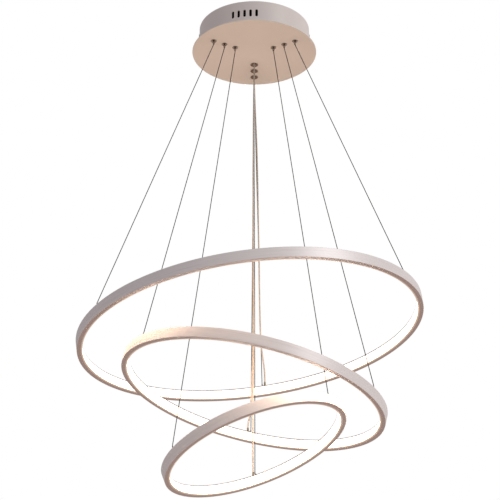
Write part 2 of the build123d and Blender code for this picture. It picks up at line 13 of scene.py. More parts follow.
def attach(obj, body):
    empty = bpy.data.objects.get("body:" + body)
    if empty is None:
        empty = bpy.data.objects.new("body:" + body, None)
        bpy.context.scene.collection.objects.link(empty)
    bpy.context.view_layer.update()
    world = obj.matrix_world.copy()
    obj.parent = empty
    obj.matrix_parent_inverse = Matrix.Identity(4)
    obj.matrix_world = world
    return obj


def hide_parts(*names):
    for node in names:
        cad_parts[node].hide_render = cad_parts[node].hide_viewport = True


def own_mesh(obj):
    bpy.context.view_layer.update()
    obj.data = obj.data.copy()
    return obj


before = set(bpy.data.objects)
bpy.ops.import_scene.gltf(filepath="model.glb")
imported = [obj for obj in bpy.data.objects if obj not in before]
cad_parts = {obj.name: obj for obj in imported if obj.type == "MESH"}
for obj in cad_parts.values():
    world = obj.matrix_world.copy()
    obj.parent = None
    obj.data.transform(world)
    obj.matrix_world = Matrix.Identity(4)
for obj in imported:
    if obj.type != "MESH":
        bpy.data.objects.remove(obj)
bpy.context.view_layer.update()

# ---------------------------------------------------------------- camera
CAMERA_PLACE = (-0.00927, -4.1735, -2.6122)
CAMERA_PITCH = 25.733        # degrees above the horizon, looking along +Y
CAMERA_ROLL = 0.149          # degrees
CAMERA_LENS = 142.6          # mm
SENSOR_WIDTH = 36            # mm
CAMERA_REACH = 400           # past the floor's far edge


def make_camera():
    """The photograph's viewpoint: a long lens from below and in front."""
    data = bpy.data.cameras.new("camera")
    data.lens = CAMERA_LENS
    data.sensor_width = SENSOR_WIDTH
    data.clip_end = CAMERA_REACH
    camera = bpy.data.objects.new("camera", data)
    camera.location = CAMERA_PLACE
    pitch = Matrix.Rotation(radians(90 + CAMERA_PITCH), 4, "X")
    roll = Matrix.Rotation(radians(CAMERA_ROLL), 4, "Z")
    camera.rotation_euler = (pitch @ roll).to_euler()
    bpy.context.collection.objects.link(camera)
    bpy.context.scene.camera = camera


make_camera()

# ---------------------------------------------------------------- sizes shared with the CAD model
GRIPPER_AZIMUTHS = {"left": 210, "right": 330, "far": 90}
FLANGE_BOTTOM = -0.0656
NOSE_BOTTOM = -0.0736
SPRING_BOTTOM = -0.0601
SPRING_TOP = -0.0485
SPRING_OUTER = 0.0048
BOARD_TOP = -0.0548          # the driver boards' upper face

CHANNEL_DEPTH = 0.013
CHANNEL_HEIGHT = 0.0244
CHANNEL_WALL = 0.0015
LED_BOARD_THICKNESS = 0.0005
ANCHOR_INSET = 0.0065        # the anchors' circle, in from the channel's outer face
ANCHOR_HEIGHT = 0.0064
GLAND_FLANGE_HEIGHT = 0.0014
GLAND_SLEEVE = 0.009         # the sleeve's top over the middle of the gland's ball
GLAND_STEP = 0.0062          # from the far anchor to the gland, along the ring

WIRE_DIAMETER = 0.0020
WIRE_END_GAP = 0.0006        # between a wire's end and its anchor
TAIL_DROP = 0.0001           # the tail inside the gripper reaches this far under the nose
WIRE_SPLIT = 0.00002         # between the tail and the taut wire
CORD_DIAMETER = 0.0036
CORD_OFFSET = 0.0068         # the far grippers' cord holes, towards the front
CORD_EXIT_RUN = 0.016        # straight down out of the flange
CORD_END_RUN = 0.010         # straight down into the gland

# The cords' routes between the far gripper and the gland on the ring.
CORD_ROUTES = {
    "large": [(0.001, 0.113, -0.110), (0.003, 0.129, -0.160), (0.006, 0.150, -0.215),
              (0.008, 0.173, -0.270), (0.0095, 0.197, -0.325), (0.0105, 0.220, -0.380),
              (0.0115, 0.243, -0.434), (0.013, 0.265, -0.489), (0.014, 0.288, -0.544),
              (0.015, 0.311, -0.598), (0.016, 0.335, -0.649), (0.019, 0.354, -0.696),
              (0.024, 0.369, -0.726), (0.0275, 0.383, -0.748)],
    "medium": [(-0.0005, 0.080, -0.111), (-0.001, 0.090, -0.161), (-0.0015, 0.102, -0.218),
               (-0.0015, 0.116, -0.276), (-0.002, 0.131, -0.334), (-0.0015, 0.146, -0.392),
               (-0.002, 0.159, -0.450), (-0.0015, 0.174, -0.508), (-0.002, 0.188, -0.566),
               (-0.0015, 0.203, -0.624), (-0.001, 0.2185, -0.682), (-0.0015, 0.233, -0.740),
               (-0.003, 0.249, -0.794), (-0.0045, 0.266, -0.845), (-0.0055, 0.280, -0.881),
               (-0.0085, 0.291, -0.904)],
    "small": [(0, 0.049, -0.111), (-0.0005, 0.056, -0.161), (-0.001, 0.064, -0.219),
              (-0.001, 0.0725, -0.278), (-0.0005, 0.082, -0.337), (-0.001, 0.090, -0.396),
              (-0.001, 0.099, -0.455), (-0.0005, 0.108, -0.514), (-0.001, 0.117, -0.573),
              (-0.0005, 0.125, -0.632), (0, 0.134, -0.691), (0.0005, 0.144, -0.750),
              (0, 0.152, -0.809), (-0.001, 0.162, -0.868), (-0.0015, 0.173, -0.926),
              (-0.0015, 0.184, -0.977), (-0.001, 0.1955, -1.013), (-0.0015, 0.2025, -1.037),
              (-0.001, 0.207, -1.052)],
}


class Ring:
    """Where one ring hangs, and what hangs it.

    Its tilt is about Y and its nod about X, in degrees. The azimuths are its anchors', in the
    order left, right and far. cord_side is 1 for a gland to the right of the far anchor, else -1.
    """

    def __init__(self, name, radius, drop, shift, tilt, nod, gripper_radius, azimuths, cord_side,
                 cord_length):
        self.name = name
        self.radius = radius
        self.centre = Vector((shift, 0, -drop))
        turn = Matrix.Rotation(radians(nod), 4, "X") @ Matrix.Rotation(radians(tilt), 4, "Y")
        self.turn = turn.to_euler()
        self.place = Matrix.Translation(self.centre) @ turn
        self.gripper_radius = gripper_radius
        self.azimuths = dict(zip(GRIPPER_AZIMUTHS, azimuths))
        self.cord_side = cord_side
        self.cord_length = cord_length

    def top(self, azimuth, height=0.0):
        """A point over the middle of the channel, at this height above its top face."""
        reach = self.radius - ANCHOR_INSET
        angle = radians(azimuth)
        rise = CHANNEL_HEIGHT / 2 + height
        return self.place @ Vector((reach * cos(angle), reach * sin(angle), rise))

    def gripper(self, side, z):
        """A point on the axis of one of this ring's grippers."""
        angle = radians(GRIPPER_AZIMUTHS[side])
        reach = self.gripper_radius
        return Vector((reach * cos(angle), reach * sin(angle), z))

    def gland(self, rise):
        """A point this far straight above the middle of the cord gland's ball."""
        step = degrees(GLAND_STEP / (self.radius - ANCHOR_INSET))
        azimuth = self.azimuths["far"] - self.cord_side * step
        return self.top(azimuth, GLAND_FLANGE_HEIGHT) + Vector((0, 0, rise))

    def cord_route(self):
        """The power cord's points, from the far gripper's flange into its gland's sleeve."""
        start = self.gripper("far", FLANGE_BOTTOM) - Vector((0, CORD_OFFSET, 0))
        return [start, start - Vector((0, 0, CORD_EXIT_RUN)), *CORD_ROUTES[self.name],
                self.gland(GLAND_SLEEVE + CORD_END_RUN), self.gland(GLAND_SLEEVE)]

    def wire_ends(self, side):
        """The ends of one taut wire, under its gripper and over its anchor."""
        end = self.top(self.azimuths[side], ANCHOR_HEIGHT + WIRE_END_GAP)
        tail = self.gripper(side, NOSE_BOTTOM - TAIL_DROP)
        lean = (end - tail).angle(Vector((0, 0, -1)))
        start = tail - Vector((0, 0, WIRE_DIAMETER / 2 * sin(lean) + WIRE_SPLIT))
        return start, end


RINGS = [
    Ring("large", radius=0.400, drop=0.8035, shift=-0.008, tilt=-7.5, nod=0,
         gripper_radius=0.114, azimuths=(211, 331, 85.3), cord_side=1, cord_length=0.7691),
    Ring("medium", radius=0.306, drop=0.957, shift=0, tilt=12.8, nod=0,
         gripper_radius=0.084, azimuths=(212, 332, 92), cord_side=-1, cord_length=0.8966),
    Ring("small", radius=0.2155, drop=1.0865, shift=0.0015, tilt=-19.7, nod=-2.9,
         gripper_radius=0.054, azimuths=(209, 329, 87.5), cord_side=-1, cord_length=1.0230),
]


# ---------------------------------------------------------------- node trees from code
def opaque(colour):
    """Three values as a socket's colour. A signal stays as it is."""
    return colour if isinstance(colour, Signal) else (*colour, 1.0)


class Signal:
    """A socket's value. Arithmetic on it adds Math nodes."""

    def __init__(self, graph, socket):
        self.graph = graph
        self.socket = socket

    def math(self, operation, *values):
        """One Math node on these values."""
        return self.graph.node("ShaderNodeMath", {"operation": operation}, dict(enumerate(values)))

    def __add__(self, other):
        return self.math("ADD", self, other)

    def __radd__(self, other):
        return self.math("ADD", other, self)

    def __sub__(self, other):
        return self.math("SUBTRACT", self, other)

    def __rsub__(self, other):
        return self.math("SUBTRACT", other, self)

    def __mul__(self, other):
        return self.math("MULTIPLY", self, other)

    def __rmul__(self, other):
        return self.math("MULTIPLY", other, self)

    def __truediv__(self, other):
        return self.math("DIVIDE", self, other)

    def __neg__(self):
        return self.math("MULTIPLY", self, -1.0)


class Graph:
    """A node tree that is built from code."""

    def __init__(self, tree):
        self.tree = tree

    def node(self, kind, settings=None, inputs=None, output=0):
        """Add a node. Its settings come first, then the values or links of its sockets."""
        node = self.tree.nodes.new(kind)
        for name, value in (settings or {}).items():
            setattr(node, name, value)
        for socket, value in (inputs or {}).items():
            if isinstance(value, Signal):
                self.tree.links.new(value.socket, node.inputs[socket])
            else:
                node.inputs[socket].default_value = value
        return Signal(self, node.outputs[output])

    def range(self, value, low, high, to_low=0.0, to_high=1.0):
        """Value from low to high, smoothly, as to_low to to_high."""
        return self.node("ShaderNodeMapRange", {"interpolation_type": "SMOOTHSTEP"},
                         {0: value, 1: low, 2: high, 3: to_low, 4: to_high})

    def split(self, vector):
        """The three parts of a vector."""
        node = self.node("ShaderNodeSeparateXYZ", inputs={0: vector}).socket.node
        return [Signal(self, socket) for socket in node.outputs]

    def join(self, x, y, z):
        """A vector from three values."""
        return self.node("ShaderNodeCombineXYZ", inputs={0: x, 1: y, 2: z})

    def mix(self, factor, first, second):
        """One colour into another."""
        sockets = {0: factor, 6: opaque(first), 7: opaque(second)}
        return self.node("ShaderNodeMix", {"data_type": "RGBA"}, sockets, 2)

    def noise(self, vector, scale=1.0, detail=2.0):
        """Noise about 0.5, with this many features to one unit of the vector."""
        return self.node("ShaderNodeTexNoise", {"noise_dimensions": "3D"},
                         {"Vector": vector, "Scale": scale, "Detail": detail})

    def wave(self, angle):
        """A sine of this angle, from 0 to 1."""
        return 0.5 + 0.5 * self.node("ShaderNodeMath", {"operation": "SINE"}, {0: angle})


class Finish(Graph):
    """A material, around its Principled BSDF."""

    def __init__(self, name, **sockets):
        self.material = bpy.data.materials.new(name)
        self.material.use_nodes = True
        super().__init__(self.material.node_tree)
        self.surface = self.tree.nodes["Principled BSDF"]
        self.set(**sockets)

    def set(self, **sockets):
        """Set or link sockets of the surface. base_color stands for Base Color."""
        for name, value in sockets.items():
            socket = self.surface.inputs[name.replace("_", " ").title()]
            if isinstance(value, Signal):
                self.tree.links.new(value.socket, socket)
            else:
                socket.default_value = value

    def place(self):
        """Object coordinates, which are the frame's own metres."""
        return self.node("ShaderNodeTexCoord", output=3)

    def ring_place(self, ring):
        """Coordinates in one ring's own plane, about its own axis."""
        return self.node("ShaderNodeMapping", {"vector_type": "TEXTURE"},
                         {"Vector": self.place(), "Location": ring.centre, "Rotation": ring.turn})

    def ring_parts(self, ring):
        """The ring's own x and y, the distance from its axis, and the height over its middle."""
        x, y, z = self.split(self.ring_place(ring))
        radial = self.node("ShaderNodeMath", {"operation": "SQRT"}, {0: x * x + y * y})
        return x, y, radial, z

    def bump(self, height, distance, strength=1.0):
        """A bump from a height of 0 to 1, this many metres deep."""
        normal = self.node("ShaderNodeBump", inputs={"Strength": strength, "Distance": distance,
                                                     "Height": height})
        self.set(normal=normal)


# ---------------------------------------------------------------- tones
# A pair holds a finish's darker and lighter tone.
HOUSING_PAINT = (0.60, 0.565, 0.555), (0.66, 0.625, 0.615)
# The plate's tones are the housing's paint made lighter: painted light from below.
LIT_PLATE_PAINT = (0.60, 0.60, 0.59), (0.68, 0.67, 0.66)
ALUMINIUM = (0.52, 0.505, 0.515), (0.88, 0.865, 0.875)
NICKEL = (0.24, 0.20, 0.175), (0.42, 0.355, 0.315)
WIRE_STEEL = (0.035, 0.035, 0.035), (0.085, 0.083, 0.085)
ZINC_STEEL = (0.48, 0.50, 0.53), (0.72, 0.73, 0.74)
SPRING_STEEL = (0.36, 0.35, 0.34), (0.55, 0.54, 0.53)
SMOKE_PLASTIC = (0.075, 0.07, 0.04), (0.13, 0.12, 0.075)
WHITE_CORD = (0.78, 0.77, 0.74), (0.84, 0.83, 0.80)
DRIVER_PLASTIC = (0.74, 0.74, 0.72), (0.80, 0.80, 0.78)
TERMINAL_PLASTIC = (0.70, 0.69, 0.64), (0.78, 0.77, 0.72)
CORD_CORES = (0.31, 0.275, 0.235), (0.37, 0.335, 0.29)
CORD_JACKET = (0.36, 0.335, 0.295), (0.41, 0.385, 0.35)
STRIP_BOARD = (0.80, 0.80, 0.78), (0.88, 0.88, 0.86)
GREEN_BOARD = (0.02, 0.16, 0.07), (0.10, 0.34, 0.16)

BLACK = (0, 0, 0)
BOARD_PARTS = (0.05, 0.05, 0.055)
PHOSPHOR = (0.86, 0.70, 0.22)
PHOSPHOR_LIGHT = (1.0, 0.78, 0.5)
PAINTED_LIP_SHADE = (0.13, 0.12, 0.14)      # painted shade on the lips' faces beside the diffuser
# painted light: emission on the lower lips for the diffusers' light
PAINTED_LIP_GLOW = (0.38, 0.285, 0.195)
OPAL = (0.93, 0.92, 0.90)
OPAL_SHADE = (0.05, 0.05, 0.055)
DIFFUSER_LIGHT = (1.0, 0.97, 0.90)
DIFFUSER_EDGE_LIGHT = (0.74, 0.66, 0.56)
DIFFUSER_SHADE_LIGHT = (0.36, 0.34, 0.39)

# ---------------------------------------------------------------- grain and shades
# Brush marks are features a metre, across the streaks and along them.
BRUSH_FINE = 2600, 18
BRUSH_BROAD = 420, 5
TRACKS = 420, 60             # the driver boards' copper, in the same way
LATHE_TURNS = 3800.0
CORE_LAY = 0.022             # one turn of the cord's cores
CORE_STRANDS = 14            # seen around the cord
CORE_TWIST = 2600            # how steeply the strands cross the core, in radians a metre

# A pair is where a shade starts and ends: in from a face, or as heights over a ring's middle.
OUTER_FACE = 0.0009, 0.0005
CHIP_FACE = 0.0003, 0.0001
CHANNEL_UNDERSIDE = -0.0095, -0.0115
DIFFUSER_EDGE = 0.0060, 0.0105
DIFFUSER_SHADE = 0.0092, 0.0102
LIP_FADE = 0.001             # from the lips' painted shade to their bare metal
BOARD_FADE = 0.0002          # to each side of the boards' upper face, where the parts start
PAINTED_GLOW_REACH = 0.005           # how far the painted glow for the diffusers' light reaches over the lower lips
DIFFUSER_GLOW = 1.25         # how bright the diffusers look


# ---------------------------------------------------------------- finishes
def canopy_paint(name, tones):
    """Satin paint on sheet steel, with a fine orange peel."""
    finish = Finish(name, metallic=0.0, coat_weight=0.25, coat_roughness=0.22)
    place = finish.place()
    cloud = finish.noise(place, scale=9.0, detail=3.0)
    peel = finish.noise(place, scale=650.0)
    finish.set(base_color=finish.mix(cloud, *tones), roughness=0.30 + 0.16 * cloud + 0.05 * peel)
    finish.bump(peel, distance=0.00006)
    return finish.material


def brushed_aluminium(ring):
    """Aluminium channel, brushed along the ring. Its lips' faces carry painted shade, and its lower
    lip a painted glow (emission) for the diffuser's light.
    """
    finish = Finish(f"brushed_aluminium_{ring.name}")
    x, y, radial, z = finish.ring_parts(ring)
    outer = finish.range(radial, *[ring.radius - inset for inset in OUTER_FACE])
    across = z * outer + radial * (1.0 - outer)
    fine, broad = [finish.noise(finish.join(across * cross, x * along, y * along))
                   for cross, along in (BRUSH_FINE, BRUSH_BROAD)]
    streaks = 0.65 * fine + 0.35 * broad
    inner = ring.radius - CHANNEL_DEPTH
    # painted shade on the lips' faces beside the diffuser
    lip = finish.range(radial, inner, inner + LIP_FADE)
    # painted glow: emission on the lower lip for the diffuser's light, though the lip is no lamp
    under = finish.range(z, *CHANNEL_UNDERSIDE)
    glow = under * finish.range(radial, inner + PAINTED_GLOW_REACH, inner)
    finish.set(base_color=finish.mix(lip, PAINTED_LIP_SHADE, finish.mix(streaks, *ALUMINIUM)),
               metallic=1.0 - 0.75 * outer,
               roughness=0.34 + 0.12 * streaks,
               emission_color=finish.mix(glow, BLACK, PAINTED_LIP_GLOW),
               emission_strength=1.0)
    finish.bump(streaks, distance=0.000012, strength=0.5)
    finish.material.cycles.emission_sampling = "NONE"
    return finish.material


def opal_diffuser(ring):
    """Opal strip over the LEDs, a little dimmer at its edges and shaded under the upper lip."""
    finish = Finish(f"opal_diffuser_{ring.name}", roughness=0.42, emission_strength=DIFFUSER_GLOW)
    height = finish.split(finish.ring_place(ring))[2]
    edge = finish.range(height.math("ABSOLUTE", height), *DIFFUSER_EDGE)
    shade = finish.range(height, *DIFFUSER_SHADE)
    lit = finish.mix(edge, DIFFUSER_LIGHT, DIFFUSER_EDGE_LIGHT)
    finish.set(base_color=finish.mix(shade, OPAL, OPAL_SHADE),
               emission_color=finish.mix(shade, lit, DIFFUSER_SHADE_LIGHT))
    finish.material.cycles.emission_sampling = "NONE"
    return finish.material


def led_board(ring):
    """White strip board with yellow phosphor chips."""
    finish = Finish(f"led_board_{ring.name}", roughness=0.45)
    radial = finish.ring_parts(ring)[2]
    face = ring.radius - CHANNEL_WALL - LED_BOARD_THICKNESS
    chip = finish.range(radial, *[face - inset for inset in CHIP_FACE], 1.0, 0.0)
    speck = finish.noise(finish.place(), scale=900.0)
    finish.set(base_color=finish.mix(chip, finish.mix(speck, *STRIP_BOARD), PHOSPHOR),
               emission_color=finish.mix(chip, BLACK, PHOSPHOR_LIGHT),
               emission_strength=2.0)
    finish.material.cycles.emission_sampling = "NONE"
    return finish.material


def metal(name, tones, roughness, grain):
    """Plain metal with a grain of this many features a metre."""
    finish = Finish(name, metallic=1.0)
    place = finish.place()
    fine = finish.noise(place, scale=grain, detail=3.0)
    cloud = finish.noise(place, scale=60.0)
    blend = 0.6 * fine + 0.4 * cloud
    finish.set(base_color=finish.mix(blend, *tones), roughness=roughness - 0.08 + 0.16 * blend)
    finish.bump(fine, distance=0.00003)
    return finish.material


def turned_nickel():
    """Nickelled brass with the lathe's fine rings, which follow the height."""
    finish = Finish("turned_nickel", metallic=1.0)
    place = finish.place()
    turns = finish.node("ShaderNodeTexNoise", {"noise_dimensions": "1D"},
                        {"W": finish.split(place)[2], "Scale": LATHE_TURNS, "Detail": 2.0})
    cloud = finish.noise(place, scale=160.0)
    finish.set(base_color=finish.mix(turns, *NICKEL),
               roughness=0.08 + 0.06 * turns + 0.06 * cloud)
    finish.bump(turns, distance=0.00005)
    return finish.material


def plastic(name, tones, roughness, grain):
    """Moulded plastic with a spark texture of this many features a metre."""
    finish = Finish(name)
    place = finish.place()
    spark = finish.noise(place, scale=grain)
    cloud = finish.noise(place, scale=25.0)
    finish.set(base_color=finish.mix(cloud, *tones), roughness=roughness + 0.12 * spark)
    finish.bump(spark, distance=0.00004)
    return finish.material


def circuit_board():
    """Green board with pale copper tracks and dark parts on it."""
    finish = Finish("circuit_board", roughness=0.4)
    x, y, z = finish.split(finish.place())
    cross, along = TRACKS
    tracks = finish.noise(finish.join(x * cross, y * along, z), detail=0.0)
    lit = finish.range(tracks, 0.50, 0.54)
    parts = finish.range(z, BOARD_TOP - BOARD_FADE, BOARD_TOP + BOARD_FADE)
    finish.set(base_color=finish.mix(parts, finish.mix(lit, *GREEN_BOARD), BOARD_PARTS))
    finish.bump(lit, distance=0.00008)
    return finish.material


def clear_cord():
    """Clear cord: two stranded cores show through the glossy jacket as long twisted bands."""
    finish = Finish("clear_cord", roughness=0.30, coat_weight=0.9, coat_roughness=0.08)
    along = finish.node("ShaderNodeAttribute", {"attribute_name": "along"}, output=2)
    around = finish.node("ShaderNodeAttribute", {"attribute_name": "round"}, output=1)
    x, y, _ = finish.split(around)
    angle = finish.node("ShaderNodeMath", {"operation": "ARCTAN2"}, {0: y, 1: x})
    turn = angle + along * (tau / CORE_LAY)
    band = finish.wave(turn * 2)
    strands = finish.wave(turn * CORE_STRANDS + along * CORE_TWIST)
    core = finish.mix(strands, *CORD_CORES)
    jacket = finish.mix(strands, *CORD_JACKET)
    finish.set(base_color=finish.mix(finish.range(band, 0.25, 0.75), jacket, core))
    finish.bump(band, distance=0.00004)
    return finish.material


# ---------------------------------------------------------------- curves and geometry nodes
ROUTE_STEPS = 12             # points between two control points of a route
COIL_STEPS = 18              # points in one turn of a spring
COIL_SIDES = 7


def route_curve(name, points):
    """A curve of one smooth spline, with these points as its control points."""
    data = bpy.data.curves.new(name, "CURVE")
    data.dimensions = "3D"
    data.resolution_u = ROUTE_STEPS
    data.twist_mode = "MINIMUM"
    spline = data.splines.new("NURBS")
    spline.points.add(len(points) - 1)
    for control, point in zip(spline.points, points):
        control.co = (*point, 1)
    spline.order_u = 3
    spline.use_endpoint_u = True
    curve = bpy.data.objects.new(name, data)
    bpy.context.collection.objects.link(curve)
    return curve


def evaluated_mesh(source):
    """A plain mesh of what this object looks like with its modifiers."""
    graph = bpy.context.evaluated_depsgraph_get()
    return bpy.data.meshes.new_from_object(source.evaluated_get(graph))


def line_points(curve):
    """The points along a curve's spline."""
    mesh = evaluated_mesh(curve)
    points = [vertex.co.copy() for vertex in mesh.vertices]
    bpy.data.meshes.remove(mesh)
    return points


def new_piece(name, mesh):
    """An object at the origin, with its place in its mesh."""
    piece = bpy.data.objects.new(name, mesh)
    bpy.context.collection.objects.link(piece)
    return piece


class Maker(Graph):
    """A Geometry Nodes tree with named inputs."""

    def __init__(self, name, material, **sizes):
        super().__init__(bpy.data.node_groups.new(name, "GeometryNodeTree"))
        self.material = material
        face = self.tree.interface
        face.new_socket("Geometry", in_out="INPUT", socket_type="NodeSocketGeometry")
        face.new_socket("Geometry", in_out="OUTPUT", socket_type="NodeSocketGeometry")
        for size, value in sizes.items():
            kind = "NodeSocketInt" if isinstance(value, int) else "NodeSocketFloat"
            face.new_socket(size, in_out="INPUT", socket_type=kind).default_value = value
        self.sizes = sizes
        self.group_input = self.tree.nodes.new("NodeGroupInput")

    def given(self, name="Geometry"):
        """One of the tree's inputs."""
        return Signal(self, self.group_input.outputs[name])

    def resample(self):
        """The given curve, with its points one step apart."""
        return self.node("GeometryNodeResampleCurve", {"mode": "LENGTH"},
                         {"Curve": self.given(), "Length": self.given("step")})

    def circle(self, sides, diameter):
        """A round section."""
        return self.node("GeometryNodeCurvePrimitiveCircle",
                         inputs={"Resolution": sides, "Radius": diameter / 2})

    def sweep(self, line, section):
        """The section carried along the line, with its ends closed."""
        return self.node("GeometryNodeCurveToMesh",
                         inputs={"Curve": line, "Profile Curve": section, "Fill Caps": True})

    def finish(self, geometry):
        """The tree's end: real geometry with its material."""
        real = self.node("GeometryNodeRealizeInstances", inputs={"Geometry": geometry})
        smooth = self.node("GeometryNodeSetShadeSmooth", inputs={"Geometry": real})
        dressed = self.node("GeometryNodeSetMaterial",
                            inputs={"Geometry": smooth, "Material": self.material})
        end = self.tree.nodes.new("NodeGroupOutput")
        self.tree.links.new(dressed.socket, end.inputs[0])

    def grow(self, source, name):
        """A piece from this source, which is used up."""
        modifier = source.modifiers.new("maker", "NODES")
        modifier.node_group = self.tree
        for item in self.tree.interface.items_tree:
            if item.in_out == "INPUT" and item.name in self.sizes:
                modifier[item.identifier] = self.sizes[item.name]
        piece = new_piece(name, evaluated_mesh(source))
        bpy.data.objects.remove(source)
        return piece


def rope_maker(material):
    """A curve into laid wire rope: its lobed section turns as it goes."""
    maker = Maker("wire_rope", material, diameter=WIRE_DIAMETER, lay=0.0095, step=0.0011,
                  groove=0.08, strands=7)
    run = maker.node("GeometryNodeSplineParameter", output=1)
    line = maker.node("GeometryNodeSetCurveTilt",
                      inputs={"Curve": maker.resample(), "Tilt": run * tau / maker.given("lay")})
    section = maker.circle(maker.given("strands") * 2, maker.given("diameter"))
    index = maker.node("GeometryNodeInputIndex")
    between = index.math("MODULO", index, 2)
    inward = maker.node("ShaderNodeVectorMath", {"operation": "SCALE"},
                        {"Vector": maker.node("GeometryNodeInputPosition"),
                         "Scale": -(between * maker.given("groove"))})
    section = maker.node("GeometryNodeSetPosition", inputs={"Geometry": section, "Offset": inward})
    maker.finish(maker.sweep(line, section))
    return maker


def cord_maker(material):
    """A curve into a round cord that keeps its own coordinates along and around it."""
    maker = Maker("round_cord", material, diameter=CORD_DIAMETER, step=0.004, sides=16)
    run = maker.node("GeometryNodeSplineParameter", output=1)
    line = maker.node("GeometryNodeStoreNamedAttribute", {"data_type": "FLOAT", "domain": "POINT"},
                      {"Geometry": maker.resample(), "Name": "along", "Value": run})
    section = maker.node("GeometryNodeStoreNamedAttribute",
                         {"data_type": "FLOAT_VECTOR", "domain": "POINT"},
                         {"Geometry": maker.circle(maker.given("sides"), maker.given("diameter")),
                          "Name": "round", "Value": maker.node("GeometryNodeInputPosition")})
    maker.finish(maker.sweep(line, section))
    return maker


def spring_maker(material):
    """A coil spring on each point of a mesh, standing on that point."""
    maker = Maker("coil_springs", material, turns=9.0, wire=0.0007, outer=SPRING_OUTER,
                  height=SPRING_TOP - SPRING_BOTTOM)
    radius = (maker.given("outer") - maker.given("wire")) / 2
    coil = maker.node("GeometryNodeCurveSpiral",
                      inputs={"Resolution": COIL_STEPS, "Rotations": maker.given("turns"),
                              "Start Radius": radius, "End Radius": radius,
                              "Height": maker.given("height") - maker.given("wire")})
    spring = maker.sweep(coil, maker.circle(COIL_SIDES, maker.given("wire")))
    spring = maker.node("GeometryNodeTransform",
                        inputs={"Geometry": spring,
                                "Translation": maker.join(0.0, 0.0, maker.given("wire") / 2)})
    points = maker.node("GeometryNodeMeshToPoints", inputs={"Mesh": maker.given()})
    maker.finish(maker.node("GeometryNodeInstanceOnPoints",
                            inputs={"Points": points, "Instance": spring}))
    return maker


# ---------------------------------------------------------------- cords and wires
def shorten(piece):
    """The piece gets its own copy of its mesh."""
    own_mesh(piece)


def power_cord(ring, maker):
    """One power cord, from the far gripper's flange into the gland on its ring."""
    curve = route_curve(f"{ring.name}_cord_route", ring.cord_route())
    points = line_points(curve)
    cord = maker.grow(curve, f"{ring.name}_cord")
    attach(cord, "canopy")
    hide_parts(f"{ring.name}_power_cord")
    shorten(cord)


def suspension_wire(ring, side, maker):
    """One taut wire rope, from its gripper to its anchor on the ring."""
    start, end = ring.wire_ends(side)
    curve = route_curve(f"{ring.name}_{side}_wire_route", [start, (start + end) / 2, end])
    points = line_points(curve)
    wire = maker.grow(curve, f"{ring.name}_rope_{side}")
    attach(wire, "canopy")
    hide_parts(f"{ring.name}_wire_{side}")
    (end - start).length
    shorten(wire)


def coil_springs(maker):
    """The spring inside each gripper."""
    seats = [ring.gripper(side, SPRING_BOTTOM) for ring in RINGS for side in GRIPPER_AZIMUTHS]
    mesh = bpy.data.meshes.new("spring_seats")
    mesh.from_pydata(seats, [], [])
    springs = maker.grow(new_piece("spring_seats", mesh), "coil_springs")
    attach(springs, "canopy")
    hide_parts("gripper_springs")


# ---------------------------------------------------------------- finishes on the CAD nodes
def dress(material, *names):
    """Give these CAD nodes a finish."""
    for name in names:
        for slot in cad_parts[name].material_slots:
            slot.material = material


wire_steel = metal("wire_steel", WIRE_STEEL, roughness=0.55, grain=2500.0)
zinc = metal("zinc_steel", ZINC_STEEL, roughness=0.40, grain=500.0)
spring_steel = metal("spring_steel", SPRING_STEEL, roughness=0.30, grain=1500.0)
nickel = turned_nickel()
smoke_plastic = plastic("smoke_plastic", SMOKE_PLASTIC, roughness=0.35, grain=900.0)
white_cord = plastic("white_cord", WHITE_CORD, roughness=0.38, grain=700.0)
driver_plastic = plastic("driver_plastic", DRIVER_PLASTIC, roughness=0.45, grain=1100.0)
terminal_plastic = plastic("terminal_plastic", TERMINAL_PLASTIC, roughness=0.35, grain=900.0)

rope = rope_maker(wire_steel)
cord = cord_maker(clear_cord())
for hung_ring in RINGS:
    power_cord(hung_ring, cord)
    for gripper_side in GRIPPER_AZIMUTHS:
        suspension_wire(hung_ring, gripper_side, rope)
    dress(brushed_aluminium(hung_ring), f"{hung_ring.name}_ring_channel")
    dress(opal_diffuser(hung_ring), f"{hung_ring.name}_ring_diffuser")
    dress(led_board(hung_ring), f"{hung_ring.name}_ring_led_strip")
    dress(nickel, f"{hung_ring.name}_ring_anchors",
          *[f"{hung_ring.name}_release_{side}" for side in GRIPPER_AZIMUTHS])
    dress(smoke_plastic, f"{hung_ring.name}_ring_cord_gland")
    dress(zinc, f"{hung_ring.name}_ring_anchor_nuts")
coil_springs(spring_maker(spring_steel))
dress(canopy_paint("housing_paint", HOUSING_PAINT), "canopy_housing")
# the plate gets the lighter copy of the paint: painted light from below
dress(canopy_paint("plate_paint", LIT_PLATE_PAINT), "canopy_plate")
dress(nickel, "gripper_barrels", "gripper_locknuts")
dress(zinc, "plate_studs", "plate_nuts", "ceiling_bracket", "side_screws", "driver_screws",
      "terminal_screws")
dress(wire_steel, "wire_tails")
dress(driver_plastic, "driver_case_1", "driver_case_2", "driver_case_3", "driver_lids")
dress(circuit_board(), "driver_boards")
dress(terminal_plastic, "terminal_block")
dress(white_cord, "supply_leads", "output_leads")

# ---------------------------------------------------------------- stage and light
FLOOR_DROP = 7.6             # under every camera that looks at the lamp from below
FLOOR_SIZE = 160.0
FLOOR_TONE = (0.86, 0.85, 0.84)
FLOOR_GLOW = 0.3
# The card is painted shade: a dark sheet over the canopy's open top, seen through the vent slots.
CARD_RADIUS = 0.132
CARD_DROP = 0.001
CARD_SIDES = 48
SHADE_CARD_TONE = (0.004, 0.004, 0.004)

WHITE = (1, 1, 1)
SKY_LEFT = (0.38, 0.36, 0.39)
SKY_RIGHT = (0.86, 0.80, 0.78)
BELOW_BACK = (0.43, 0.295, 0.243)
BELOW_FRONT = (0.10, 0.075, 0.065)
BELOW_SIDES = (0.85, 0.74, 0.66)

